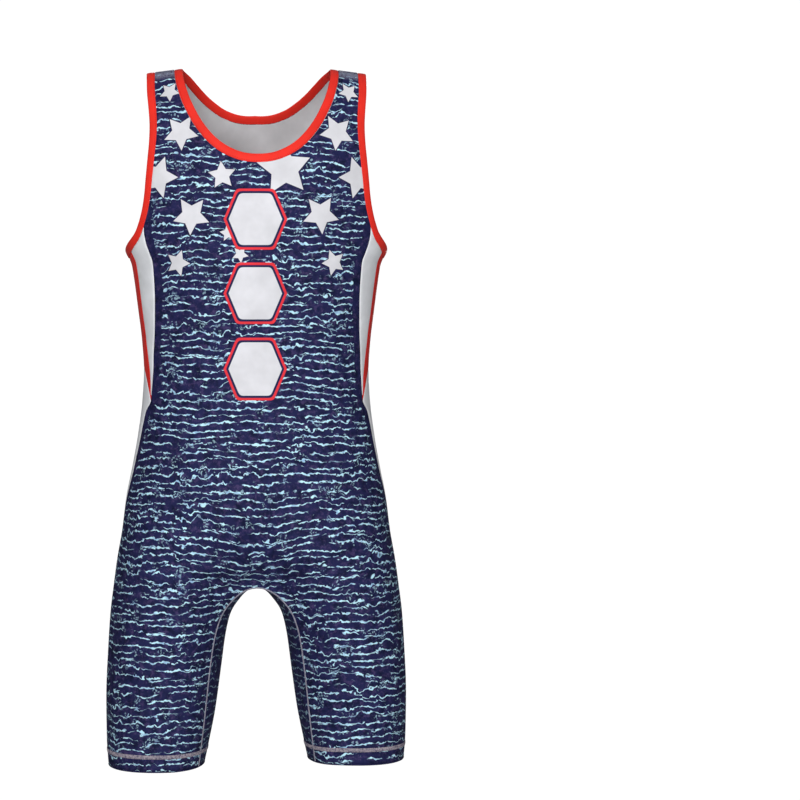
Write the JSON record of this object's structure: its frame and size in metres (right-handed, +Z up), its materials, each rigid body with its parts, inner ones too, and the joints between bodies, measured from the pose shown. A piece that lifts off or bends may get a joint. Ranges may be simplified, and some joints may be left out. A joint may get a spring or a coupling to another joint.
{
  "type": "wrestling singlet",
  "caption": "Sleeveless one-piece wrestling singlet with mid-thigh legs, in its worn hollow form: navy crackle print with stars, red bindings, white and red side panels.",
  "frame": {"origin": "between the wearer's shoulders, at the height of the shoulder seams", "axes": "+Z up, the front faces -Y, +X towards the wearer's left"},
  "size_m": [0.3658, 0.2238, 0.8459],
  "materials": {
    "navy_print": "matt stretch knit with a crackle and star print",
    "hem_cloth": "the same cloth, turned up",
    "red_binding": "fine ribbed binding",
    "white_cloth": "matt stretch knit",
    "red_cloth": "matt stretch knit"
  },
  "bodies": {
    "root": {"front_body": "navy_print", "back_body": "navy_print", "crotch_gusset": "navy_print", "hem_turn_up_left": "hem_cloth", "hem_turn_up_right": "hem_cloth", "neck_binding": "red_binding", "armhole_binding_left": "red_binding", "armhole_binding_right": "red_binding", "side_front_strip_left": "white_cloth", "side_front_strip_right": "white_cloth", "side_back_strip_left": "white_cloth", "side_back_strip_right": "white_cloth", "hip_leaf_left": "white_cloth", "hip_leaf_right": "white_cloth", "side_wedge_left": "red_cloth", "side_wedge_right": "red_cloth"}
  },
  "joints": []
}
